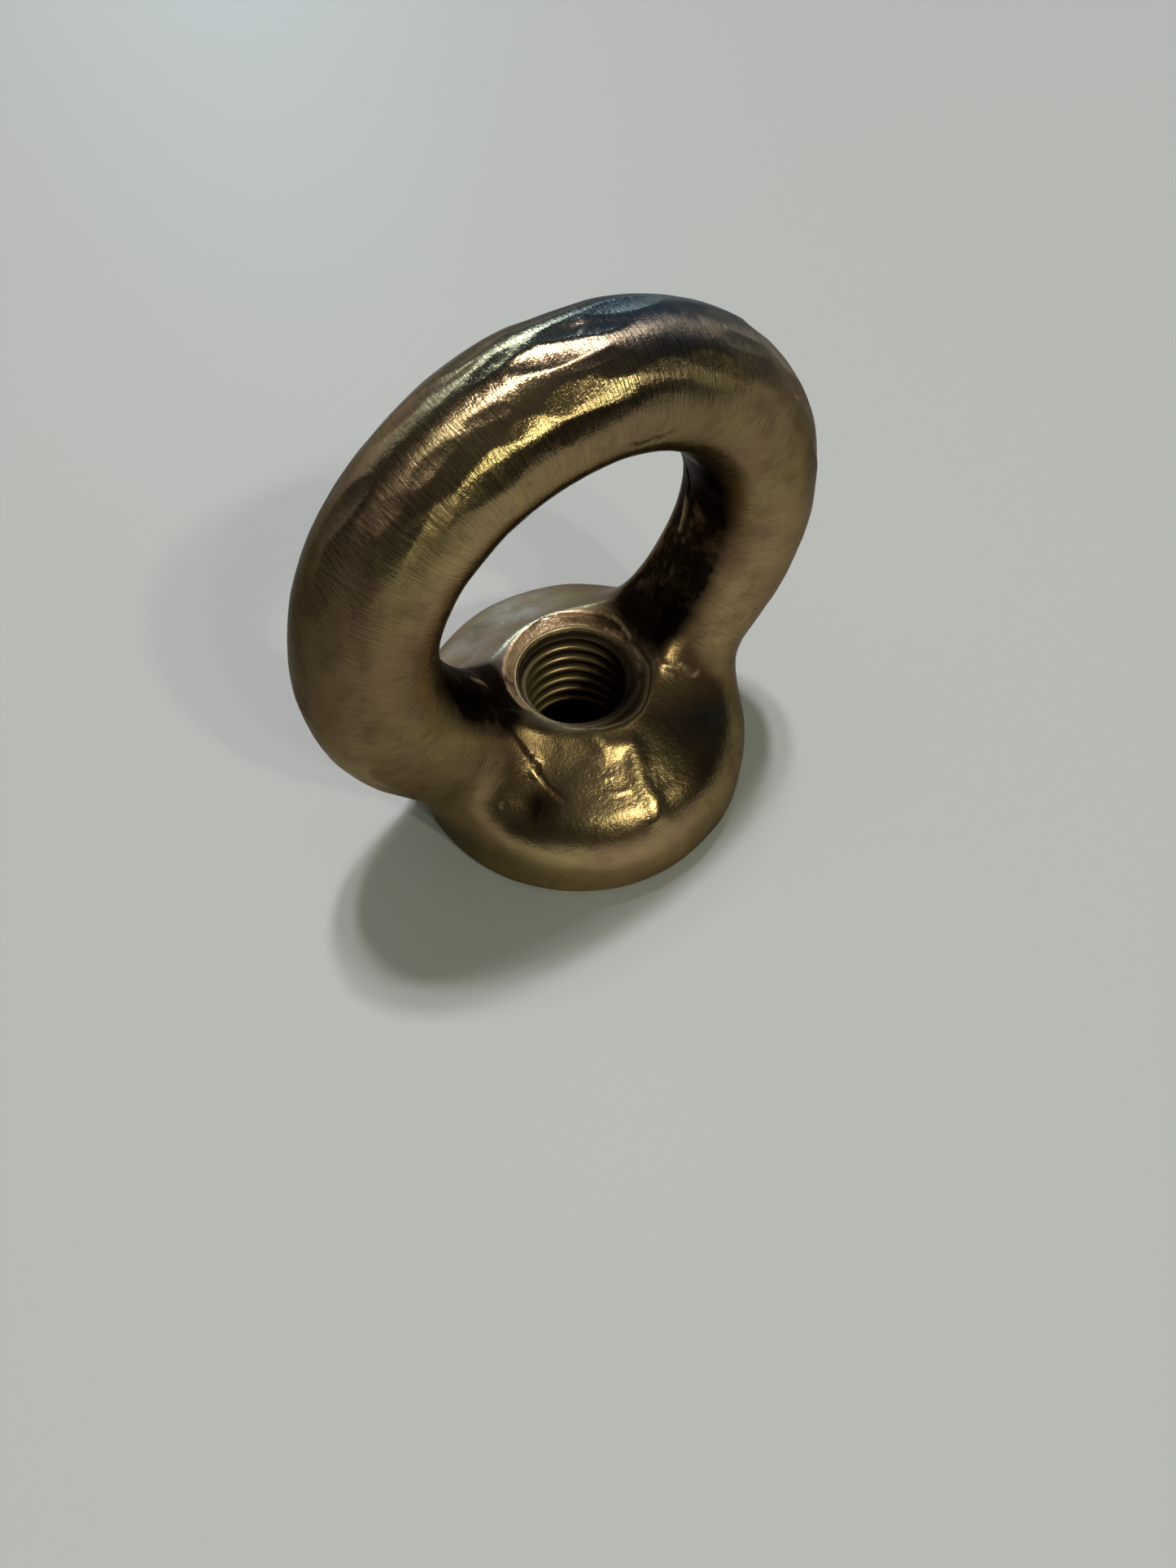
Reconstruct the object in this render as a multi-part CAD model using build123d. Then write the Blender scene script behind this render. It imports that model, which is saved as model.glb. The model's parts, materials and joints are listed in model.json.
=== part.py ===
from build123d import *
from build123d.topology import SkipClean
import math
import os

# A lifting eye nut, cast in bronze in one piece: a ring standing on a round boss, tapped right through.
# The seat is the plane Z = 0, the thread's axis is the Z axis, and the ring stands in the XZ plane,
# which is also the parting plane of its mould.

# Driving dimensions, in millimetres.

# The ring
EYE_HEIGHT = 27.2  # centre of the eye above the seat
RING_RADIUS = 20.0  # of the ring's centre line
RING_THICKNESS = 12.4  # of its section at the sides, measured in the parting plane
RING_SWELL = 0.9  # gained in half-thickness at the foot, and lost at the crown
RING_WIDTH = 12.6  # of its section across the parting plane

# The boss
BOSS_RADIUS = 17.7
WALL_HEIGHT = 8.2  # up to the corner that the rounding takes away
WALL_ROUNDING = 6.5
DOME_HEIGHT = 14.0
ROOT_FILLET = 3.0  # between the dome and the ring's legs

# The cast mouth of the hole, over the thread
MOUTH_RADIUS = 7.2
FLARE_RADIUS = 9.6
FLARE_HEIGHT = 18.0

# The thread: M12 coarse, through the boss
THREAD_DIAMETER = 12.0
THREAD_PITCH = 1.75
LEAD_IN_RADIUS = 6.2  # of the shallow cone cut round the thread's upper end
LEAD_IN_HEIGHT = 13.05  # of that cone's outer edge
THREAD_TOP = 12.75
SEAT_CHAMFER_RADIUS = 6.4  # of the chamfer round the thread's lower end

# A metric thread's proportions
CREST_RADIUS = THREAD_DIAMETER / 2 - 0.54127 * THREAD_PITCH
HALF_ROOT = THREAD_PITCH / 16
HALF_MOUTH = THREAD_PITCH * 3 / 8
CUTTER_REACH = 0.3  # how far the groove's cutter extends inside the crest
CUTTER_START = -1.5 * THREAD_PITCH
CUTTER_TURNS = 11  # of the helix
CUTTER_TURN = 180  # degrees round the axis to the helix's start


def ring():
    """Ovals round the eye, leaving out the foot, which is inside the boss and the hole."""
    sections = []
    for degrees in range(-168, 169, 24):
        lean = math.radians(degrees)
        outwards = Vector(math.sin(lean), 0, math.cos(lean))
        along = Vector(math.cos(lean), 0, -math.sin(lean))
        middle = Vector(0, 0, EYE_HEIGHT) + outwards * RING_RADIUS
        half_thickness = RING_THICKNESS / 2 - RING_SWELL * math.cos(lean)
        oval = Ellipse(half_thickness, RING_WIDTH / 2)
        sections.append(Plane(origin=middle, x_dir=outwards, z_dir=along) * oval)
    return loft(sections)


def boss():
    outline = Polyline(
        (0, 0),
        (BOSS_RADIUS, 0),
        (BOSS_RADIUS, WALL_HEIGHT),
        (MOUTH_RADIUS, DOME_HEIGHT),
        (0, DOME_HEIGHT),
        close=True,
    )
    turned = revolve(Plane.XZ * make_face(outline), Axis.Z)
    shoulder = turned.edges().filter_by_position(Axis.Z, WALL_HEIGHT - 0.01, WALL_HEIGHT + 0.01)
    return fillet(shoulder, WALL_ROUNDING)


def blended(casting):
    """The casting with its creases between the dome and the ring's legs filled in."""
    creases = []
    for edge in casting.edges():
        middle = edge.center()
        beside_leg = abs(abs(middle.Y) - RING_WIDTH / 2) < 0.9
        on_dome = WALL_HEIGHT < middle.Z < DOME_HEIGHT - 1
        if beside_leg and on_dome:
            creases.append(edge)
    return fillet(creases, ROOT_FILLET)


def mouth():
    outline = Polyline(
        (0, THREAD_TOP),
        (CREST_RADIUS, THREAD_TOP),
        (LEAD_IN_RADIUS, LEAD_IN_HEIGHT),
        (MOUTH_RADIUS, DOME_HEIGHT),
        (FLARE_RADIUS, FLARE_HEIGHT),
        (0, FLARE_HEIGHT),
        close=True,
    )
    return revolve(Plane.XZ * make_face(outline), Axis.Z)


def seat_chamfer():
    depth = SEAT_CHAMFER_RADIUS - CREST_RADIUS
    outline = Polyline((0, 0), (SEAT_CHAMFER_RADIUS, 0), (CREST_RADIUS, depth), (0, depth), close=True)
    return revolve(Plane.XZ * make_face(outline), Axis.Z)


def thread_groove():
    """The vee between the crests, swept up the thread's helix."""
    flank = (HALF_MOUTH - HALF_ROOT) / (THREAD_DIAMETER / 2 - CREST_RADIUS)
    inner_radius = CREST_RADIUS - CUTTER_REACH
    half_inner = HALF_MOUTH + flank * CUTTER_REACH
    outline = Polyline(
        (inner_radius, -half_inner),
        (THREAD_DIAMETER / 2, -HALF_ROOT),
        (THREAD_DIAMETER / 2, HALF_ROOT),
        (inner_radius, half_inner),
        close=True,
    )
    start = Plane(origin=(0, 0, CUTTER_START), x_dir=(1, 0, 0), z_dir=(0, -1, 0))
    path = Helix(THREAD_PITCH, CUTTER_TURNS * THREAD_PITCH, CREST_RADIUS, center=(0, 0, CUTTER_START))
    return Rot(0, 0, CUTTER_TURN) * sweep(start * make_face(outline), path=path, is_frenet=True)


def parted(casting):
    """The same solid, with its faces divided along the mould's parting plane."""
    halves = [split(casting, bisect_by=Plane.XZ, keep=side) for side in (Keep.TOP, Keep.BOTTOM)]
    with SkipClean():
        return halves[0] + halves[1]


def eye_nut():
    casting = blended(boss() + ring())
    bore = Cylinder(CREST_RADIUS, THREAD_TOP, align=(Align.CENTER, Align.CENTER, Align.MIN))
    casting = casting - mouth() - bore - seat_chamfer()
    return parted(casting - thread_groove())


os.makedirs("parts", exist_ok=True)
nut = eye_nut()
nut.label = "eye_nut"
export_step(nut, "parts/eye_nut.step")
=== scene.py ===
import json
import math

import bmesh
import bpy
import numpy as np
from mathutils import Matrix, Vector, noise

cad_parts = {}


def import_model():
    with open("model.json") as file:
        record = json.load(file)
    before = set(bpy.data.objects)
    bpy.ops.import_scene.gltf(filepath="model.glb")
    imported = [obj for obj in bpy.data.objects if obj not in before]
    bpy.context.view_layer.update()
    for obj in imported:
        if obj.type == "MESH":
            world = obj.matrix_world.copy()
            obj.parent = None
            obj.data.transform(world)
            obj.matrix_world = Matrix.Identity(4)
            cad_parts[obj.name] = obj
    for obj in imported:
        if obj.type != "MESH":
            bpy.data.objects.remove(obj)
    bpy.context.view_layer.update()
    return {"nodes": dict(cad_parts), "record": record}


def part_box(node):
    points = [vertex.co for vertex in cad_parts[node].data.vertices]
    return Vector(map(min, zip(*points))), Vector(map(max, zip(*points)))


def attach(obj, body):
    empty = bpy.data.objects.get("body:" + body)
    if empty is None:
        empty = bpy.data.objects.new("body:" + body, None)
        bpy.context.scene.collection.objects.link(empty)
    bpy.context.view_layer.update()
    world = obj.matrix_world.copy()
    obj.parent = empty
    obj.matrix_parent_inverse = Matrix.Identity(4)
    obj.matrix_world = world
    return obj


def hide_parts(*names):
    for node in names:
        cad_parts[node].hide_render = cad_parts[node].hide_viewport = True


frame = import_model()

# Lengths are in millimetres until a mesh is made, when they become metres.
MM = 0.001
NODE = "eye_nut"
MOUNTS = {mount["name"]: mount for mount in frame["record"]["mounts"]}
_, cad_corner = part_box(NODE)
CAD_HALF_LENGTH = cad_corner.x / MM
CAD_HALF_WIDTH = cad_corner.y / MM

# The ring, a little out of true with the thread's axis, as cast
RING_SIDE = 6.18  # half its thickness in its own plane, at the sides
RING_SWELL = 0.98  # gained at the foot and lost at the crown
RING_HALF_WIDTH = 6.33
RING_SHORTFALL = 0.07  # of its outer radius from the CAD solid's
RING_RADIUS = CAD_HALF_LENGTH - RING_SIDE - RING_SHORTFALL
RING_RISE = 1.0137  # its height over its width
RING_CENTRE = np.array([-0.53, 0.61, 27.17])
RING_LEAN_X = math.radians(-1.61)
RING_LEAN_Y = math.radians(-1.74)

# The boss
BOSS_RADIUS = CAD_HALF_WIDTH
BOSS_WALL = 4.5
BOSS_ROUNDING = 6.5
DOME_RADIUS = 3.9  # of the flat core under the dome's slope
DOME_TOP = 14.9
SEAT_ROUNDING = 0.7
ROOT_BLEND = 4.4
DISH_RADIUS = 6.9  # of the dish round the hole, at its foot
DISH_HEIGHT = 14.2  # of its foot
DISH_SLOPE = 0.75
DISH_FADE = 16.5  # height from which the dish fades out
DISH_FADE_RATE = 0.6
DISH_LIMIT = 24.0
DISH_BLEND = 1.5
OUT_OF_REACH = 99.0

# The hole
CREST_RADIUS = MOUNTS["thread"]["dims"]["r_mm"]
THREAD_RADIUS = 6.0
PITCH = 1.75
THREAD_TOP = 12.75
LEAD_IN_RADIUS = 6.23
LEAD_IN_TOP = 13.06
MOUTH_RADIUS = 6.85
MOUTH_FLOOR = 0.28  # height over which the mouth's floor curves up into its wall
MOUTH_FLARE = 0.1
RIM_REACH = 0.45
SEAT_CHAMFER = 1.35
FLARE_RADIUS = 7.8  # of the CAD solid's mouth, at the dome
HOLE_CENTRE = np.array([-0.08, 0.25])
OVER_THE_HOLE = 20.0  # a height above the mouth and below the ring's crown

# Where the ragged mouth is wider or narrower: direction and reach in degrees, and how much
MOUTH_BULGES = ((80, 25, 1.05), (280, 30, 0.95), (350, 20, -0.5))

# Marks left by the mould, the grinder and use: corners, half the width, height, and how far the
# line wobbles
MARKS = (
    # The crease at the left leg's foot, with the lips beside it
    ([(-9.5, -3.4, 15.3), (-9.4, -4.6, 14.1), (-9.2, -5.7, 13.2), (-9.0, -7.1, 12.1)], 0.17, -0.20, 0.12),
    ([(-9.0, -7.1, 12.1), (-8.9, -8.3, 11.4), (-8.6, -9.6, 10.9), (-8.2, -10.4, 10.7)], 0.14, -0.14, 0.08),
    ([(-8.8, -5.4, 13.4), (-8.7, -6.4, 12.7)], 0.25, 0.12, 0.2),
    ([(-9.6, -6.6, 12.3), (-9.4, -7.4, 11.9)], 0.25, 0.10, 0.1),
    # The flash line down the inside of the right leg, and its raised edge
    ([(11.5, 2.1, 36.0), (13.1, 2.0, 31.6), (13.4, 1.9, 29.6), (13.4, 2.1, 26.9)], 0.20, -0.25, 0.35),
    (
        [(13.4, 2.1, 26.9), (13.2, 1.4, 26.1), (12.7, 1.6, 24.0), (12.1, 1.2, 22.5), (10.5, 1.0, 19.5)],
        0.22, -0.25, 0.35,
    ),
    ([(13.2, 2.6, 31.0), (13.4, 2.5, 27.5), (12.9, 2.1, 24.5)], 0.25, 0.14, 0.35),
    # A scratch under the crown, and small marks on the outside of the ring
    (
        [(0.6, -6.2, 46.3), (2.2, -6.1, 46.0), (3.3, -6.1, 45.8), (4.0, -6.2, 45.8), (4.7, -6.2, 45.8)],
        0.14, -0.17, 0.3,
    ),
    ([(0.0, 0.4, 52.5), (0.9, 0.6, 52.5)], 0.18, 0.07, 0.1),
    ([(0.0, -0.8, 52.5), (0.5, -0.3, 52.5), (1.0, 0.2, 52.5)], 0.11, 0.07, 0.05),
    ([(-7.1, 1.7, 51.6), (-9.4, 1.8, 50.8)], 0.10, -0.06, 0.1),
    ([(18.8, -3.9, 41.6), (19.1, -3.8, 41.2)], 0.25, -0.12, 0.1),
    # A pit beside the hollow, and the beads at the feet of the legs
    ([(-13.3, -7.3, 10.1), (-13.2, -7.3, 10.1)], 0.22, -0.16, 0.0),
    ([(6.8, -4.1, 14.9), (8.2, -5.1, 14.0), (9.9, -5.9, 13.1)], 0.45, 0.16, 0.3),
    ([(-10.9, 1.3, 18.9), (-8.1, 0.2, 16.6)], 0.30, 0.12, 0.3),
    # Small burrs on the front of the dome
    ([(-4.5, -11.9, 11.0), (-3.6, -12.5, 10.9), (-2.5, -12.8, 10.9)], 0.18, 0.05, 0.15),
    ([(-4.0, -10.8, 11.7), (-3.3, -11.1, 11.7)], 0.16, 0.04, 0.1),
    ([(0.65, -12.6, 11.1), (0.5, -13.3, 10.75), (0.05, -13.8, 10.6)], 0.15, 0.04, 0.1),
)
MARK_MARGIN = 3.0  # the furthest from its corners that a mark is looked for

# The hollow beside the left leg's foot, which the material also darkens with painted shade and grime
HOLLOW = np.array([-10.9, -9.4, 10.1])
HOLLOW_REACH = 2.2
HOLLOW_DEPTH = 0.30

# The crooked ridge down the front of the dome, which catches the front lamps
RIDGE_CORNERS = (
    (-2.8, -7.3, 13.7),
    (-2.4, -8.6, 13.1),
    (-0.1, -9.6, 12.8),
    (-0.3, -10.8, 12.1),
    (-1.0, -12.6, 11.1),
    (-0.7, -14.6, 10.0),
    (-1.2, -15.8, 9.1),
)
RIDGE_HEIGHT = 0.20
RIDGE_REACH = 1.0

# The valley between the left leg and the mouth, darkened with painted shade and grime
VALLEY_CORNERS = ((-13.6, -3.6, 20.5), (-12.0, -3.6, 17.6), (-10.6, -4.6, 15.2))
VALLEY_REACH = 1.7
VALLEY_SHADE_AND_GRIME = 0.30

# Where the metal has toned darker, and where its colour is painted darker or brighter to stand in for dimmer
# or brighter reflections: place, reach and how much it reflects
TONES_AND_PAINTED_REFLECTIONS = (
    ((-24.5, 1.5, 36.0), 9.0, 0.40),
    ((-23.0, 3.0, 42.0), 8.0, 0.55),
    ((-26.5, 1.0, 27.0), 7.0, 0.55),
    ((24.5, -1.0, 37.0), 8.0, 0.25),
    ((6.0, -6.2, 45.0), 6.0, 0.65),
    ((-4.0, -6.1, 45.5), 5.0, 0.80),
    ((14.0, -9.0, 9.0), 5.5, 0.42),
    ((6.5, -15.0, 8.2), 4.5, 0.60),
    ((-17.3, -3.6, 2.5), 4.5, 0.55),
    ((5.0, 3.0, 51.5), 7.0, 0.75),
    ((-7.8, -5.2, 13.8), 1.9, 0.25),
    ((-7.5, -16.0, 2.5), 6.0, 1.45),
    ((-19.0, -6.0, 35.0), 6.0, 1.15),
    ((14.0, -5.5, 20.0), 6.0, 1.15),
)

# Where a painted bluish reflection lies on the bronze, and where an ashen film dulls it: place and reach
BLUE_REFLECTION_SPOTS = (((6.0, 4.5, 51.5), 8.0), ((11.0, 3.0, 49.5), 5.0), ((15.0, 4.0, 46.5), 7.0))
ASH_FILM = (((-9.0, 9.0, 13.0), 7.0), ((0.0, 12.0, 12.5), 5.0))

# The unevenness of the cast skin and of the ragged mouth: the length of each layer of waves, its
# height and its shift in the noise
SKIN_WAVES = ((9.0, 0.11, 0.0), (2.6, 0.03, 31.0), (0.9, 0.008, 13.0))
MOUTH_WAVES = ((3.0, 0.16, 5.0), (1.0, 0.12, 9.0))
MARK_WAVE = (1.1, 7.0)  # the length and shift of the waves in a mark's line

# The flats left by hand grinding, on the ring's outer side
FLAT_COUNT = 300
FLAT_BOW = 30.0  # radius that a flat follows along the ring
FLAT_DEPTHS = (0.03, 0.17)
FLAT_TWIST = 0.35
FLAT_TURN = 2.45  # the furthest that a flat's middle is from the crown, in radians round the ring
FLAT_GIRTH = 2.0  # and from the outside, in radians round its section
GROUND_GIRTH = 1.6  # where the grinding stops

VOXEL = 0.22
THREAD_COLUMNS = 288
ROWS_PER_PITCH = 48
RANDOM = np.random.default_rng(12)


# ---------------------------------------------------------------- shape


def smooth_union(a, b, width):
    """Two distances joined with a fillet, and how far the point belongs to the first."""
    share = np.clip(0.5 + 0.5 * (b - a) / width, 0, 1)
    return b * (1 - share) + a * share - width * share * (1 - share), share


def turned(points, axis, angle):
    """Points turned about an axis, "X" or "Y"."""
    matrix = np.array(Matrix.Rotation(angle, 3, axis))
    return points @ matrix.T


def ring_place(points):
    """Points in the ring's own frame, with their distance from the axis through its eye."""
    local = turned(turned(points - RING_CENTRE, "Y", RING_LEAN_Y), "X", RING_LEAN_X)
    radius = np.hypot(local[:, 0], local[:, 2] / RING_RISE)
    return local, np.maximum(radius, 1e-6)


def ring_distance(points):
    """About the distance to a ring of oval section that thins towards its crown."""
    local, radius = ring_place(points)
    half_thickness = RING_SIDE - RING_SWELL * local[:, 2] / radius
    outwards = (radius - RING_RADIUS) / half_thickness
    across = local[:, 1] / RING_HALF_WIDTH
    reach = np.hypot(outwards, across)
    slope = np.hypot(outwards / half_thickness, across / RING_HALF_WIDTH)
    return reach * (reach - 1) / np.maximum(slope, 1e-9)


def outline_distance(points, corners):
    """Signed distance in a plane to a closed outline, negative inside."""
    squared = np.full(len(points), 1e18)
    sign = np.ones(len(points))
    for here, before in zip(corners, np.roll(corners, 1, axis=0)):
        edge = before - here
        away = points - here
        along = np.clip(away @ edge / (edge @ edge), 0, 1)
        squared = np.minimum(squared, ((away - along[:, None] * edge) ** 2).sum(1))
        above = points[:, 1] >= here[1]
        below = points[:, 1] < before[1]
        left = edge[0] * away[:, 1] > edge[1] * away[:, 0]
        crosses = (above & below & left) | (~above & ~below & ~left)
        sign = np.where(crosses, -sign, sign)
    return sign * np.sqrt(squared)


def boss_distance(points):
    """Distance to the boss: a rounded outline turned about the thread's axis, cut flat at the seat."""
    section = np.stack([np.hypot(points[:, 0], points[:, 1]), points[:, 2]], axis=1)
    inner = BOSS_RADIUS - BOSS_ROUNDING
    core_top = DOME_TOP - BOSS_ROUNDING
    beyond = -5  # past the axis and the seat, where the core's edges don't show
    foot = [(beyond, beyond), (inner, beyond)]
    slope = [(inner, BOSS_WALL), (DOME_RADIUS, core_top), (beyond, core_top)]
    turned_boss = outline_distance(section, np.array(foot + slope)) - BOSS_ROUNDING
    cut, _ = smooth_union(-turned_boss, points[:, 2], SEAT_ROUNDING)
    return -cut


def dish_distance(points):
    """The wide dish round the hole, which thins the insides of the ring's legs at their foot."""
    from_axis = np.hypot(points[:, 0] - HOLE_CENTRE[0], points[:, 1] - HOLE_CENTRE[1])
    height = points[:, 2]
    lean = math.atan(DISH_SLOPE)
    cone = (from_axis - DISH_RADIUS) * math.cos(lean) - (height - DISH_HEIGHT) * math.sin(lean)
    faded = cone + DISH_FADE_RATE * np.maximum(height - DISH_FADE, 0)
    return np.where(height < DISH_LIMIT, faded, OUT_OF_REACH)


def casting_distance(points):
    """Distance to the cast surface, ignoring the hole, and how far the point belongs to the ring."""
    joined, on_ring = smooth_union(ring_distance(points), boss_distance(points), ROOT_BLEND)
    hollowed, _ = smooth_union(-joined, dish_distance(points), DISH_BLEND)
    return -hollowed, on_ring


def settle(points):
    """Points moved on to the casting's surface, and the surface's normals there."""
    rounds = 5
    step = 0.02
    least_slope = 0.2
    for _ in range(rounds):
        distance, _ = casting_distance(points)
        slope = np.empty_like(points)
        for i in range(3):
            shift = np.zeros(3)
            shift[i] = step
            ahead, _ = casting_distance(points + shift)
            behind, _ = casting_distance(points - shift)
            slope[:, i] = (ahead - behind) / (2 * step)
        size = np.maximum(np.linalg.norm(slope, axis=1), least_slope)
        points = points - (distance / size**2)[:, None] * slope
    return points, slope / size[:, None]


def ring_angles(points):
    """The angle round the ring from its crown, and the angle round its section from the outside."""
    local, radius = ring_place(points)
    return np.arctan2(local[:, 0], local[:, 2]), np.arctan2(local[:, 1], radius - RING_RADIUS)


def waves(points, size, shift):
    """Fractal noise, about -1 to 1, whose larger waves are this many millimetres long."""
    moved = Vector((shift, 0, 0))
    octaves = 2
    return np.array([noise.fractal(Vector(p) / size + moved, 1.0, 2.0, octaves) for p in points])


def unevenness(points, layers):
    """The height of several layers of waves together."""
    return sum(rise * waves(points, size, shift) for size, rise, shift in layers)


def fade(distance, reach):
    """1 at no distance, falling smoothly to 0."""
    return np.exp(-((distance / reach) ** 2))


def spot(points, centre, reach):
    """1 at a place, falling to 0 away from it."""
    return fade(np.linalg.norm(points - centre, axis=1), reach)


def line_distance(points, corners):
    """Distance from a line made of straight pieces."""
    corners = np.array(corners)
    nearest = np.full(len(points), 1e9)
    for start, end in zip(corners, corners[1:]):
        edge = end - start
        away = points - start
        along = np.clip(away @ edge / (edge @ edge), 0, 1)
        nearest = np.minimum(nearest, np.linalg.norm(away - along[:, None] * edge, axis=1))
    return nearest


def near_marks(points):
    """For each mark, the points close to it, how strongly it shows there, 0 to 1, and its height."""
    wander = np.array([1.0, -0.7, 0.5])
    for corners, half_width, height, wobble in MARKS:
        low = np.min(corners, axis=0) - MARK_MARGIN
        high = np.max(corners, axis=0) + MARK_MARGIN
        close = np.nonzero(((points > low) & (points < high)).all(1))[0]
        here = points[close]
        offset = waves(here, *MARK_WAVE)[:, None] * wander * wobble
        strength = fade(line_distance(here + offset, corners), half_width)
        yield close, strength, height


def ground_flats(turn, girth):
    """How deep hand grinding has cut: many small flats on the ring's outer side."""
    along = RING_RADIUS * turn
    across = RING_HALF_WIDTH * girth
    depth = np.zeros(len(turn))
    for _ in range(FLAT_COUNT):
        centre_along = RANDOM.uniform(-FLAT_TURN, FLAT_TURN) * RING_RADIUS
        centre_across = RANDOM.uniform(-FLAT_GIRTH, FLAT_GIRTH) * RING_HALF_WIDTH
        cut = RANDOM.uniform(*FLAT_DEPTHS)
        twist = RANDOM.uniform(-FLAT_TWIST, FLAT_TWIST)
        from_middle = along - centre_along
        to_side = across - centre_across + twist * from_middle
        flat = cut - from_middle**2 / (2 * FLAT_BOW) - to_side**2 / (2 * RING_HALF_WIDTH)
        depth = np.maximum(depth, flat)
    return depth


def casting_marks(points, on_ring):
    """The height of everything that isn't the plain shape, along the normal."""
    turn, girth = ring_angles(points)
    outside = np.clip(GROUND_GIRTH - np.abs(girth), 0, 1) * on_ring
    height = unevenness(points, SKIN_WAVES)
    height -= outside * ground_flats(turn, girth)
    height -= HOLLOW_DEPTH * spot(points, HOLLOW, HOLLOW_REACH)
    height += RIDGE_HEIGHT * fade(line_distance(points, RIDGE_CORNERS), RIDGE_REACH)
    for close, strength, rise in near_marks(points):
        height[close] += rise * strength
    return height


# ---------------------------------------------------------------- meshes


def mesh_object(name, vertices, faces):
    mesh = bpy.data.meshes.new(name)
    mesh.from_pydata([tuple(v) for v in np.asarray(vertices) * MM], [], faces)
    mesh.validate()
    made = bpy.data.objects.new(name, mesh)
    bpy.context.scene.collection.objects.link(made)
    return made


def apply_modifiers(target):
    bpy.context.view_layer.update()
    graph = bpy.context.evaluated_depsgraph_get()
    mesh = bpy.data.meshes.new_from_object(target.evaluated_get(graph))
    target.modifiers.clear()
    target.data = mesh


def weld(target):
    """Joins points that lie together, and turns all faces outwards."""
    work = bmesh.new()
    work.from_mesh(target.data)
    bmesh.ops.remove_doubles(work, verts=work.verts, dist=2e-7)
    bmesh.ops.recalc_face_normals(work, faces=work.faces)
    work.to_mesh(target.data)
    work.free()


def places(mesh):
    """The places of a mesh's points, in millimetres."""
    found = np.empty(len(mesh.vertices) * 3)
    mesh.vertices.foreach_get("co", found)
    return found.reshape(-1, 3) / MM


def from_cylinder(angle, radius, height):
    """Points round the thread's axis, one row for each place."""
    parts = np.broadcast_arrays(radius * np.cos(angle), radius * np.sin(angle), height)
    return np.stack(parts, axis=-1).reshape(-1, 3)


def band(below, above, count):
    """Faces between two rings of points, given by the number of each one's first point."""
    afters = [(i + 1) % count for i in range(count)]
    return [(below + i, below + after, above + after, above + i) for i, after in enumerate(afters)]


def filled_hole():
    """A closed round bar that fills the CAD solid's hole up to the dome."""
    count = 64
    turns = np.arange(count) * (2 * math.pi / count)
    foot, top = 0.2, DOME_TOP - 0.3
    ends = [from_cylinder(turns, FLARE_RADIUS, height) for height in (foot, top)]
    faces = band(0, count, count)
    faces.append(tuple(reversed(range(count))))
    faces.append(tuple(range(count, 2 * count)))
    return mesh_object("filling", np.concatenate(ends), faces)


def blank_casting():
    """An even, closed mesh of the CAD solid with its hole filled, settled on the cast shape."""
    blank = bpy.data.objects.new("bronze_eye_nut", frame["nodes"][NODE].data.copy())
    bpy.context.scene.collection.objects.link(blank)
    filling = filled_hole()
    with bpy.context.temp_override(active_object=blank, selected_editable_objects=[blank, filling]):
        bpy.ops.object.join()
    even = blank.modifiers.new("even", "REMESH")
    even.mode = "VOXEL"
    even.voxel_size = VOXEL * MM
    apply_modifiers(blank)
    points, normals = settle(places(blank.data))
    _, on_ring = casting_distance(points)
    points = points + normals * casting_marks(points, on_ring)[:, None]
    points[:, 2] = np.maximum(points[:, 2], 0)
    blank.data.vertices.foreach_set("co", (points * MM).ravel())
    return blank


def thread_profile(share):
    """The hole's radius, from the share of a pitch above the middle of a crest."""
    from_root = np.abs(share % 1 - 0.5)
    half_root = 1 / 16
    half_vee = 3 / 8
    rise = np.clip((half_vee - from_root) / (half_vee - half_root), 0, 1)
    return CREST_RADIUS + (THREAD_RADIUS - CREST_RADIUS) * rise


def worn_thread(share):
    """The profile with its corners rounded by wear."""
    return sum(thread_profile(share + shift) for shift in (-0.09, -0.045, 0, 0.045, 0.09)) / 5


def hole_wall(angle):
    """The height and radius of the hole's turned wall, by rows: seat chamfer, thread and lead-in."""
    turns = int((LEAD_IN_TOP + PITCH) / PITCH) + 2
    rows = np.arange(-ROWS_PER_PITCH, turns * ROWS_PER_PITCH + 1)
    # Every column starts a little higher than the last, so that the rows follow the helix
    climb = angle[None, :] / (2 * np.pi)
    height = np.clip((rows[:, None] / ROWS_PER_PITCH + climb) * PITCH, 0, LEAD_IN_TOP)
    lead_slope = (LEAD_IN_RADIUS - CREST_RADIUS) / (LEAD_IN_TOP - THREAD_TOP)
    lead_in = CREST_RADIUS + (height - THREAD_TOP) * lead_slope
    chamfer = CREST_RADIUS + SEAT_CHAMFER - height
    radius = np.maximum(np.maximum(worn_thread(height / PITCH - climb), lead_in), chamfer)
    return height, radius


def hole_wall_faces(row_count, count):
    """Faces between the rows. The last column meets the first one a pitch further up the helix."""
    faces = []
    for row in range(row_count - 1):
        first = row * count
        for column in range(first, first + count - 1):
            faces.append((column, column + 1, column + 1 + count, column + count))
        further = row + ROWS_PER_PITCH
        if further + 1 < row_count:
            last = first + count - 1
            faces.append((last, further * count, (further + 1) * count, last + count))
    return faces


def mouth_radius(angle, rise):
    """The radius of the cast mouth's uneven wall, this far above the lead-in's edge."""
    mean = np.full(len(angle), MOUTH_RADIUS)
    for direction, reach, growth in MOUTH_BULGES:
        apart = (np.degrees(angle) - direction + 180) % 360 - 180
        mean = mean + growth * fade(apart, reach)
    mean = mean + unevenness(from_cylinder(angle, 6, 1.5 * rise), MOUTH_WAVES)
    share = 1 - np.exp(-rise / MOUTH_FLOOR)
    flared = LEAD_IN_RADIUS + (mean - LEAD_IN_RADIUS) * share + MOUTH_FLARE * rise
    return np.maximum(LEAD_IN_RADIUS + 0.03, flared)


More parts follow.
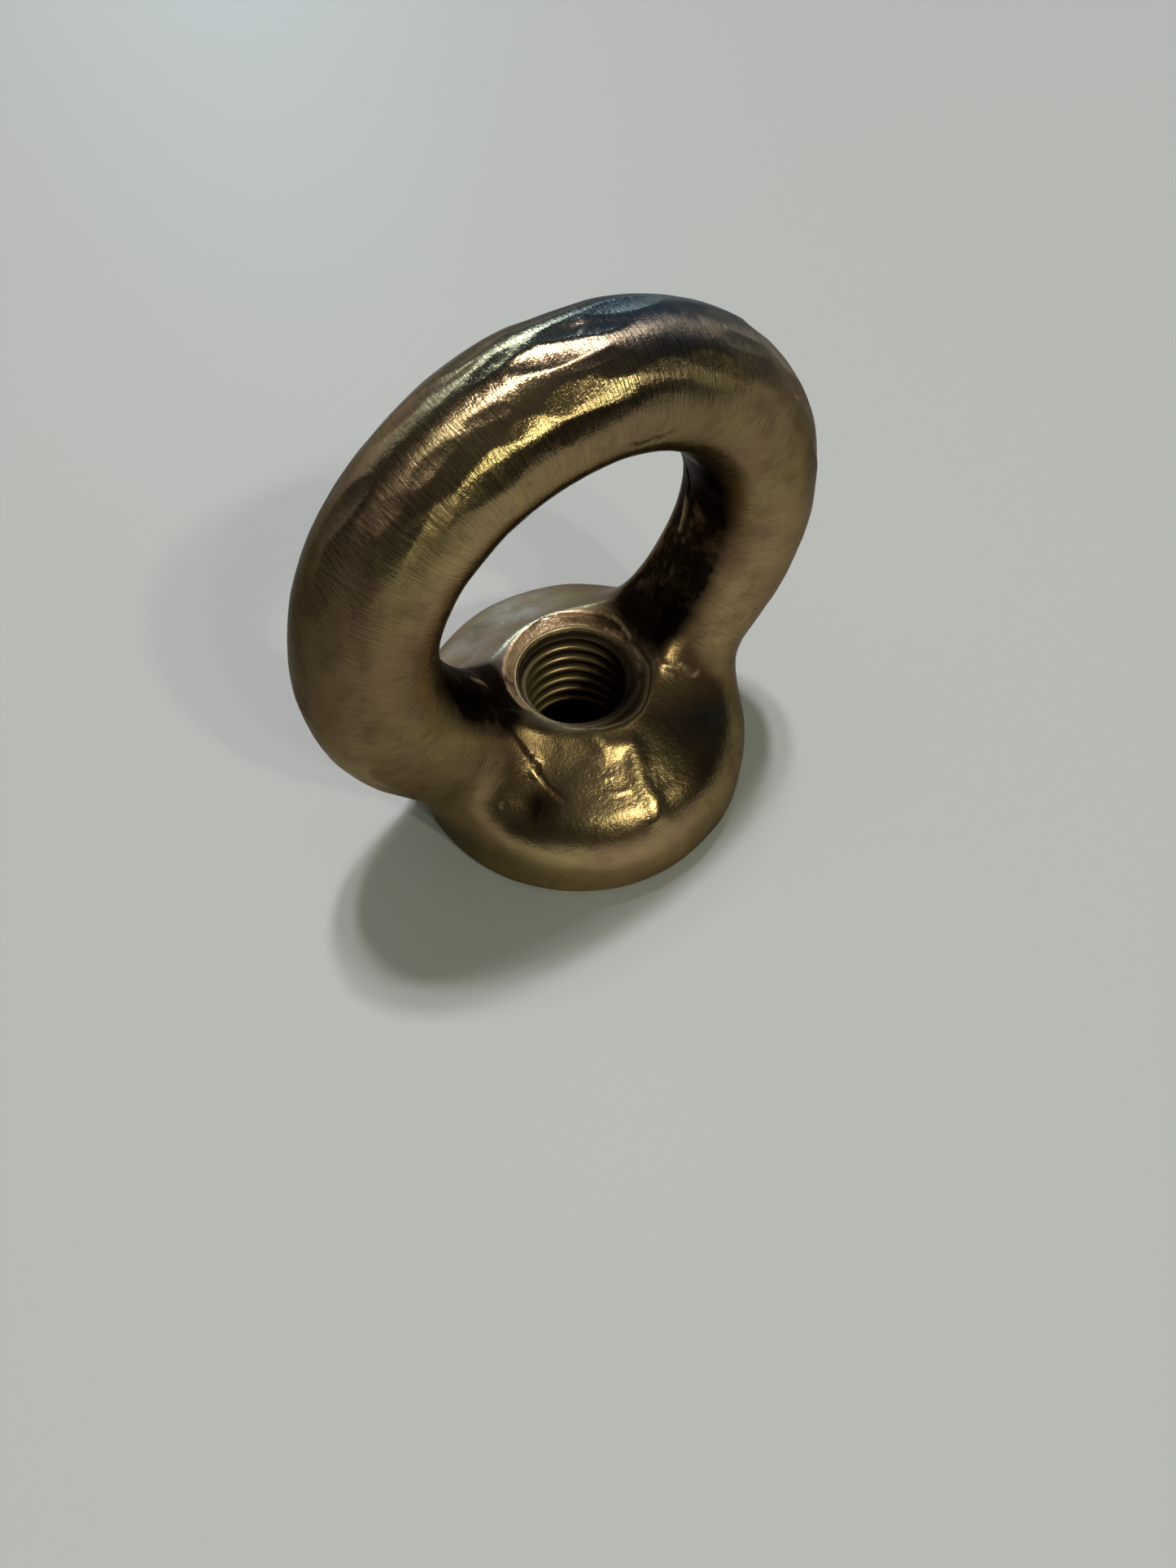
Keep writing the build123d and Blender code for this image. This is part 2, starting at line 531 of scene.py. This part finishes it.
def hole_cutter():
    """A closed plug the shape of the hole, from below the seat up past the dome."""
    count = THREAD_COLUMNS
    angle = 2 * np.pi * np.arange(count) / count
    height, radius = hole_wall(angle)
    vertices = [from_cylinder(angle, radius, height)]
    faces = hole_wall_faces(len(height), count)

    # The ragged mouth: rings of points from the lead-in's edge up past the dome
    wall_end = height.size
    rises = (0.04, 0.1, 0.18, 0.28, 0.4, 0.55, 0.75, 1.0, 1.3, 1.7, 2.3, 3.2, 6.0)
    vertices += [from_cylinder(angle, mouth_radius(angle, rise), LEAD_IN_TOP + rise) for rise in rises]
    rings = [wall_end + i * count for i in range(-1, len(rises))]
    for below, above in zip(rings, rings[1:]):
        faces += band(below, above, count)
    faces.append(tuple(range(rings[-1], rings[-1] + count)))

    # A short skirt below the seat, so that the cutter passes right through
    skirt = rings[-1] + count
    vertices.append(from_cylinder(angle, radius[0], -1.0))
    faces += band(skirt, 0, count)
    faces.append(tuple(reversed(range(skirt, skirt + count))))

    points = np.concatenate(vertices)
    points[:, :2] += HOLE_CENTRE
    cutter = mesh_object("cutter", points, faces)
    weld(cutter)
    return cutter


def cut_hole(casting):
    cutter = hole_cutter()
    hole = casting.modifiers.new("hole", "BOOLEAN")
    hole.operation = "DIFFERENCE"
    hole.solver = "MANIFOLD"
    hole.object = cutter
    apply_modifiers(casting)
    bpy.data.objects.remove(cutter)


def rim_closeness(points):
    """1 on the ragged edge where the mouth meets the cast surface, falling to 0 away from it."""
    offset = points[:, :2] - HOLE_CENTRE
    from_hole = np.hypot(offset[:, 0], offset[:, 1])
    over_thread = (points[:, 2] > LEAD_IN_TOP + 0.02) & (points[:, 2] < OVER_THE_HOLE)
    here = np.nonzero((from_hole < 10) & over_thread)[0]
    angle = np.arctan2(offset[here, 1], offset[here, 0])
    from_wall = from_hole[here] - mouth_radius(angle, points[here, 2] - LEAD_IN_TOP)
    depth, _ = casting_distance(points[here])
    closeness = np.zeros(len(points))
    closeness[here] = fade(from_wall, RIM_REACH) * fade(depth, RIM_REACH)
    return closeness


def round_the_rim(casting):
    """Wears down the mouth's sharp edge."""
    work = bmesh.new()
    work.from_mesh(casting.data)
    work.verts.ensure_lookup_table()
    on_rim = rim_closeness(places(casting.data)) > 0.35
    chosen = [work.verts[i] for i in np.nonzero(on_rim)[0]]
    every_way = {"use_axis_x": True, "use_axis_y": True, "use_axis_z": True}
    for _ in range(6):
        bmesh.ops.smooth_vert(work, verts=chosen, factor=0.5, **every_way)
    work.to_mesh(casting.data)
    work.free()


casting = blank_casting()
cut_hole(casting)
round_the_rim(casting)
casting.data.shade_smooth()
casting.data.set_sharp_from_angle(angle=math.radians(35))
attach(casting, "root")
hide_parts(NODE)

# ---------------------------------------------------------------- finish


def spotted_patch(points, spots):
    """How strongly a patch made of round spots shows, 0 to 1."""
    return np.max([spot(points, centre, reach) for centre, reach in spots], axis=0)


def tone_and_painted_reflection(points):
    """How much the metal reflects against its plain colour, from its toning and from painted darker and
    brighter reflections.
    """
    tone_and_reflection = np.ones(len(points))
    for centre, reach, share in TONES_AND_PAINTED_REFLECTIONS:
        tone_and_reflection *= 1 + (share - 1) * spot(points, centre, reach)
    return tone_and_reflection


def mark_masks(points):
    """Where the marks are sunk, and where they are raised."""
    sunk = np.zeros(len(points))
    raised = np.zeros(len(points))
    for close, strength, height in near_marks(points):
        mask = sunk if height < 0 else raised
        mask[close] = np.maximum(mask[close], strength)
    return sunk, raised


def shade_masks(mesh):
    """Where each finish, painted shade and painted reflection goes, kept on the mesh for the material to
    read.
    """
    points = places(mesh)
    height = points[:, 2]
    distance, on_ring = casting_distance(points)
    turn, girth = ring_angles(points)
    offset = points[:, :2] - HOLE_CENTRE
    from_hole = np.hypot(offset[:, 0], offset[:, 1])
    # The lower right of the hole, as the camera sees it, is in deep shade, which the material paints black
    towards_shade = offset @ np.array([0.75, -0.66]) / np.maximum(from_hole, 1)
    machined = (from_hole < LEAD_IN_RADIUS + 0.05) & (height < LEAD_IN_TOP + 0.08)
    over_thread = (height > LEAD_IN_TOP - 0.1) & (height < OVER_THE_HOLE)
    in_mouth = (from_hole < 9.5) & ~machined & over_thread
    sunk, raised = mark_masks(points)
    masks = {
        "on_ring": on_ring,
        "inner": np.clip((np.abs(girth) - 2.2) / 0.4, 0, 1) * np.clip((on_ring - 0.35) / 0.5, 0, 1),
        # Painted shade and grime in the valley
        "valley": VALLEY_SHADE_AND_GRIME * fade(line_distance(points, VALLEY_CORNERS), VALLEY_REACH),
        "root": np.clip(5 * on_ring * (1 - on_ring), 0, 1) * (height > 1),
        "tapped": (from_hole < LEAD_IN_RADIUS - 0.02) & (height < THREAD_TOP),
        "thread_depth": np.clip((from_hole - CREST_RADIUS - 0.1) / 0.6, 0, 1),
        # The shaded side of the hole, where the material paints shade
        "shade_side": np.clip(0.35 + 0.9 * towards_shade, 0, 1),
        "machined": machined,
        "mouth": in_mouth * np.clip(-4 * distance - 0.6, 0, 1),
        "rim": rim_closeness(points),
        # The metal's toning, with painted darker and brighter reflections
        "tone_and_reflection": tone_and_painted_reflection(points),
        "sunk": sunk,
        "raised": raised,
        "wall": np.clip((BOSS_WALL + 4.8 - height) / 3.4, 0, 1),
        # A painted bluish reflection
        "blue_reflection": spotted_patch(points, BLUE_REFLECTION_SPOTS),
        "ash": spotted_patch(points, ASH_FILM),
        # Painted shade and grime in the hollow
        "hollow": spot(points, HOLLOW, HOLLOW_REACH),
    }
    for name, values in masks.items():
        layer = mesh.attributes.new(name, "FLOAT", "POINT")
        layer.data.foreach_set("value", np.asarray(values, dtype=np.float32))
    around = np.stack([RING_RADIUS * turn, RING_HALF_WIDTH * girth, 0 * turn], axis=1)
    arc = np.stack([np.cos(turn), 0 * turn, -np.sin(turn)], axis=1)
    for name, values in (("around", around), ("arc", arc), ("place", points)):
        layer = mesh.attributes.new(name, "FLOAT_VECTOR", "POINT")
        layer.data.foreach_set("vector", values.astype(np.float32).ravel())


class Graph:
    """The nodes of a material or a world, made and joined in one call each."""

    def __init__(self, owner):
        owner.use_nodes = True
        self.nodes = owner.node_tree.nodes
        self.links = owner.node_tree.links

    def put(self, target, value):
        if isinstance(value, bpy.types.NodeSocket):
            self.links.new(value, target)
        else:
            target.default_value = value

    def add(self, kind, inputs=(), output=0, **settings):
        made = self.nodes.new("ShaderNode" + kind)
        for key, value in settings.items():
            setattr(made, key, value)
        for key, value in dict(inputs).items():
            self.put(made.inputs[key], value)
        return made.outputs[output]

    def attribute(self, name, vector=False):
        return self.add("Attribute", output="Vector" if vector else "Fac", attribute_name=name)

    def noise(self, where, size, detail=3.0, roughness=0.55):
        """Noise whose features are about this many millimetres across, or in X, Y and Z."""
        scale = 1 / np.broadcast_to(size, 3)
        moved = self.add("VectorMath", {0: where, 1: tuple(scale)}, operation="MULTIPLY")
        return self.add("TexNoise", {"Vector": moved, "Scale": 1.0, "Detail": detail, "Roughness": roughness})

    def spread(self, value, low, high, to_low=0.0, to_high=1.0):
        inputs = {"Value": value, "From Min": low, "From Max": high, "To Min": to_low, "To Max": to_high}
        return self.add("MapRange", inputs)

    def maths(self, operation, a, b):
        return self.add("Math", {0: a, 1: b}, operation=operation)

    def times(self, a, b):
        return self.maths("MULTIPLY", a, b)

    def plus(self, a, b):
        return self.maths("ADD", a, b)

    def larger(self, a, b):
        return self.maths("MAXIMUM", a, b)

    def rest(self, a):
        """What a share leaves over."""
        return self.maths("SUBTRACT", 1.0, a)

    def mix(self, share, a, b):
        """The colour a, with this share of b. A mix node's colours are its inputs 6 and 7 and output 2."""
        return self.add("Mix", {"Factor": share, 6: a, 7: b}, output=2, data_type="RGBA")

    def bump(self, height, depth, before=None):
        """A bump whose height of 1 is this many millimetres."""
        inputs = {"Height": height, "Strength": 1.0, "Distance": depth * MM}
        if before is not None:
            inputs["Normal"] = before
        return self.add("Bump", inputs)

    def glow(self, view, direction, low, high, dark, bright):
        """A colour that brightens towards a direction, between two cosines of the angle from it."""
        towards = tuple(Vector(direction).normalized())
        nearness = self.add("VectorMath", {0: view, 1: towards}, output="Value", operation="DOT_PRODUCT")
        made = self.nodes.new("ShaderNodeValToRGB")
        made.color_ramp.interpolation = "EASE"
        for element, position, colour in zip(made.color_ramp.elements, (low, high), (dark, bright)):
            element.position = position
            element.color = colour
        self.put(made.inputs["Fac"], nearness)
        return made.outputs["Color"]


def bronze():
    made = bpy.data.materials.new("bronze")
    graph = Graph(made)
    place = graph.attribute("place", vector=True)
    around = graph.attribute("around", vector=True)
    on_ring = graph.attribute("on_ring")
    inner = graph.attribute("inner")
    root = graph.attribute("root")
    tapped = graph.attribute("tapped")
    thread_depth = graph.attribute("thread_depth")
    shade_side = graph.attribute("shade_side")
    machined = graph.attribute("machined")
    mouth = graph.attribute("mouth")
    rim = graph.attribute("rim")
    sunk = graph.attribute("sunk")
    raised = graph.attribute("raised")

    mottle = graph.noise(place, 8, 4)
    patches = graph.noise(place, 3.2, 5, 0.65)
    speckle = graph.noise(place, 0.8, 4, 0.7)
    mouth_grain = graph.noise(place, 0.5, 3)
    cast_grain = graph.noise(place, 0.4, 3, 0.65)
    grain = graph.noise(place, 0.17, 1)
    lines = graph.noise(around, (0.26, 2.6, 1), 3, 0.65)
    hairs = graph.noise(around, (0.16, 1.6, 1), 2, 0.6)
    fine_lines = graph.noise(around, (0.12, 2.6, 1), 2, 0.6)
    brushed = graph.times(on_ring, graph.rest(inner))
    untapped = graph.rest(graph.times(tapped, 0.9))
    as_cast = graph.times(graph.rest(on_ring), untapped)

    gold = (0.44, 0.33, 0.148, 1)
    pinkish = (0.36, 0.243, 0.128, 1)
    brown = (0.13, 0.072, 0.035, 1)
    olive = (0.24, 0.18, 0.09, 1)
    black = (0.018, 0.011, 0.006, 1)
    copper = (0.90, 0.60, 0.34, 1)
    # The colour of a painted bluish reflection
    blue_reflection = (0.10, 0.135, 0.155, 1)
    ash = (0.42, 0.38, 0.32, 1)

    # The toned metal with painted darker and brighter reflections, a painted bluish reflection and its ashen
    # film
    colour = graph.mix(graph.spread(mottle, 0.44, 0.66), pinkish, gold)
    colour = graph.mix(graph.spread(patches, 0.50, 0.75, 0.0, 0.5), colour, brown)
    colour = graph.mix(graph.spread(speckle, 0.60, 0.75, 0.0, 0.35), colour, brown)
    colour = graph.add("VectorMath", {0: colour, "Scale": graph.attribute("tone_and_reflection")}, operation="SCALE")
    colour = graph.mix(graph.times(graph.attribute("blue_reflection"), 0.8), colour, blue_reflection)
    ashen = graph.times(graph.attribute("ash"), graph.spread(patches, 0.35, 0.6, 0.3, 0.9))
    colour = graph.mix(ashen, colour, ash)

    # Dirt in the brush lines, oxide grime inside the ring, and painted shade with grime at the legs' feet, in
    # the hollow and in the valley
    line_dirt = graph.times(graph.spread(fine_lines, 0.45, 0.65, 0.0, 0.3), brushed)
    colour = graph.mix(line_dirt, colour, brown)
    grime_and_shade = graph.plus(inner, graph.times(root, 0.26))
    grime_and_shade = graph.plus(grime_and_shade, graph.plus(graph.attribute("hollow"), graph.attribute("valley")))
    grime_and_shade = graph.times(grime_and_shade, graph.spread(patches, 0.3, 0.6, 0.8, 1.1))
    grime_and_shade = graph.maths("MINIMUM", grime_and_shade, 1.0)
    colour = graph.mix(grime_and_shade, colour, graph.mix(graph.spread(grime_and_shade, 0.4, 1.0), brown, black))

    # The hole: an olive turned ring, a brown mouth, black painted shade on its shaded side, and black deeper
    # down the thread
    bore = graph.larger(mouth, machined)
    shaded = graph.times(graph.larger(bore, graph.spread(rim, 0.0, 0.4)), shade_side)
    colour = graph.mix(graph.times(machined, 0.8), colour, olive)
    colour = graph.mix(graph.times(mouth, graph.spread(speckle, 0.4, 0.6, 0.2, 0.8)), colour, brown)
    colour = graph.mix(graph.times(shaded, 0.95), colour, black)
    # Black deeper in the thread, and painted shade on the hole's shaded side
    deep_and_shaded = graph.larger(graph.spread(thread_depth, 0.0, 0.8, 0.15, 0.97), graph.spread(shade_side, 0.25, 0.95))
    thread_dark_and_shade = graph.times(tapped, deep_and_shaded)
    colour = graph.mix(thread_dark_and_shade, colour, black)

    # Black in the sunk marks, and bare copper on the thread's crests, the rim and the raised marks
    crest = graph.times(tapped, graph.spread(thread_depth, 0.0, 0.2, 0.4, 0.0))
    colour = graph.mix(graph.times(crest, graph.rest(shade_side)), colour, copper)
    colour = graph.mix(graph.times(sunk, 0.85), colour, black)
    bare = graph.times(graph.spread(rim, 0.5, 0.9), graph.spread(patches, 0.38, 0.50))
    bare = graph.times(bare, graph.rest(graph.times(shade_side, 0.85)))
    colour = graph.mix(graph.larger(bare, graph.times(raised, 0.4)), colour, copper)

    # Painted shade and dirt are rough and not metallic
    shade_and_dirt = graph.larger(graph.times(shaded, 0.9), graph.times(thread_dark_and_shade, 0.8))
    shade_and_dirt = graph.larger(shade_and_dirt, graph.times(sunk, 0.85))
    dull = graph.larger(graph.times(ashen, 0.55), graph.times(root, 0.10))
    dull = graph.larger(shade_and_dirt, dull)

    rough = graph.spread(patches, 0.3, 0.7, 0.20, 0.30)
    rough = graph.plus(rough, graph.times(graph.attribute("wall"), 0.12))
    rough = graph.plus(rough, graph.times(brushed, graph.spread(lines, 0.35, 0.65, 0.0, 0.08)))
    rough = graph.plus(rough, graph.times(grime_and_shade, 0.15))
    rough = graph.plus(rough, graph.times(bore, 0.15))
    polished_crest = graph.times(tapped, graph.spread(thread_depth, 0.0, 0.3, 0.22, 0.0))
    rough = graph.larger(graph.maths("SUBTRACT", rough, polished_crest), 0.08)
    rough = graph.plus(rough, graph.spread(rim, 0.02, 0.3, 0.0, 0.06))
    rough = graph.plus(rough, graph.times(shade_and_dirt, 0.6))

    normal = graph.bump(graph.times(lines, brushed), 0.022)
    normal = graph.bump(graph.times(hairs, brushed), 0.046, normal)
    normal = graph.bump(graph.times(speckle, untapped), 0.016, normal)
    normal = graph.bump(graph.times(grain, untapped), 0.011, normal)
    normal = graph.bump(graph.times(cast_grain, as_cast), 0.030, normal)
    normal = graph.bump(graph.times(mouth_grain, mouth), 0.25, normal)

    finish = {
        "Base Color": colour,
        "Metallic": graph.rest(dull),
        "Specular Tint": (0.43, 0.43, 0.43, 1),
        "Specular IOR Level": 0.05,
        "Roughness": rough,
        "Anisotropic": graph.times(brushed, 0.88),
        "Tangent": graph.attribute("arc", vector=True),
        "Normal": normal,
    }
    shader = graph.nodes["Principled BSDF"]
    for name, value in finish.items():
        graph.put(shader.inputs[name], value)
    return made


shade_masks(casting.data)
casting.data.materials.clear()
casting.data.materials.append(bronze())

# ---------------------------------------------------------------- studio

PALE = (0.48, 0.485, 0.48, 1)
UNLIT = (0.02, 0.02, 0.02, 1)

# Lamps: name, direction, width in degrees, strength, colour, and whether the table shows it too.
# A row of four overhead and two in front cast the stepped shadows. The metal alone shows a glint in
# front, a pale far window low down behind, and a bluish window nearer by.
OVERHEAD_COLOUR = (1.0, 0.99, 1.02)
FRONT_COLOUR = (0.95, 1.0, 0.74)
LAMPS = (
    ("over a", (0.24, 0.31, 1), 3, 0.90, OVERHEAD_COLOUR, True),
    ("over b", (0.13, 0.30, 1), 3, 0.70, OVERHEAD_COLOUR, True),
    ("over c", (0.20, 0.25, 1), 3, 0.40, OVERHEAD_COLOUR, True),
    ("over d", (0.16, 0.37, 1), 3, 0.22, OVERHEAD_COLOUR, True),
    ("front a", (0.28, -1.00, 1), 3, 0.42, FRONT_COLOUR, True),
    ("front b", (0.06, -1.03, 1), 3, 0.26, FRONT_COLOUR, True),
    ("front glint", (0.17, -0.98, 1.1), 3, 0.18, (1.0, 0.95, 0.66), False),
    ("far window", (-0.22, 0.945, 0.25), 35, 0.12, (1.0, 0.97, 1.25), False),
    ("window", (0.25, 0.80, 0.42), 12, 0.85, (0.60, 0.90, 1.15), False),
)

# The camera, as far from its target and at the angles that the photo was taken from
AZIMUTH = math.radians(-33.144)
ELEVATION = math.radians(58.19)
ROLL = math.radians(0.256)
CAMERA_TARGET = Vector((-6.85, -12.40, 15.34)) * MM
CAMERA_DISTANCE = 99.7 * MM
LENS = 25.02  # focal length for a sensor 36 mm wide


def floor():
    """A plain pale table, painted dark as shade where it shows at the bottom of the hole, which gets no
    light.
    """
    reach = 1500
    corners = [(-reach, -reach, 0), (reach, -reach, 0), (reach, reach, 0), (-reach, reach, 0)]
    made = mesh_object("floor", corners, [(0, 1, 2, 3)])
    paint = bpy.data.materials.new("table")
    graph = Graph(paint)
    from_axis = graph.add("VectorMath", {0: graph.add("NewGeometry")}, output="Value", operation="LENGTH")
    outside_hole = graph.spread(from_axis, 6 * MM, 8 * MM)
    top = graph.nodes["Principled BSDF"]
    graph.put(top.inputs["Base Color"], graph.mix(outside_hole, UNLIT, PALE))
    graph.put(top.inputs["Specular IOR Level"], 0.08)
    graph.put(top.inputs["Roughness"], 0.5)
    made.data.materials.append(paint)


def sun(name, direction, width, strength, colour, on_table):
    lamp = bpy.data.lights.new(name, "SUN")
    lamp.angle = math.radians(width)
    lamp.energy = strength
    lamp.color = colour
    made = bpy.data.objects.new(name, lamp)
    made.visible_diffuse = on_table
    bpy.context.scene.collection.objects.link(made)
    made.rotation_euler = Vector(direction).to_track_quat("Z", "X").to_euler()


def camera():
    lens = bpy.data.cameras.new("camera")
    lens.sensor_width = 36
    lens.lens = LENS
    lens.clip_start = 0.01
    made = bpy.data.objects.new("camera", lens)
    bpy.context.scene.collection.objects.link(made)
    right = Vector((math.cos(AZIMUTH), math.sin(AZIMUTH), 0))
    level = math.cos(ELEVATION)
    back = Vector((math.sin(AZIMUTH) * level, -math.cos(AZIMUTH) * level, math.sin(ELEVATION)))
    up = back.cross(right)
    turned_right = math.cos(ROLL) * right + math.sin(ROLL) * up
    turned_up = -math.sin(ROLL) * right + math.cos(ROLL) * up
    place = Matrix((turned_right, turned_up, back)).transposed().to_4x4()
    place.translation = CAMERA_TARGET + back * CAMERA_DISTANCE
    made.matrix_world = place
    bpy.context.scene.camera = made


def world():
    """A dark room with a bluish window low down at the far right and a dim ceiling, for the metal.

    The table gets an even light instead, and the camera sees a pale backdrop.
    """
    made = bpy.data.worlds.new("room")
    graph = Graph(made)
    view = graph.add("TexCoord", output="Generated")
    dark = (0.020, 0.019, 0.021, 1)
    window = graph.glow(view, (0.70, 0.70, 0.08), 0.55, 0.98, dark, (0.06, 0.16, 0.36, 1))
    ceiling = graph.glow(view, (-0.03, -0.20, 0.97), 0.80, 1.0, (0, 0, 0, 1), (0.11, 0.11, 0.12, 1))
    room = graph.add("VectorMath", {0: window, 1: ceiling}, operation="ADD")
    on_table = graph.add("LightPath", output="Is Diffuse Ray")
    seen = graph.add("LightPath", output="Is Camera Ray")
    colour = graph.mix(on_table, room, (0.185, 0.195, 0.165, 1))
    colour = graph.mix(seen, colour, (0.47, 0.48, 0.47, 1))
    graph.put(graph.nodes["Background"].inputs["Color"], colour)
    bpy.context.scene.world = made


floor()
for lamp in LAMPS:
    sun(*lamp)
camera()
world()
bpy.context.scene.view_settings.view_transform = "Standard"
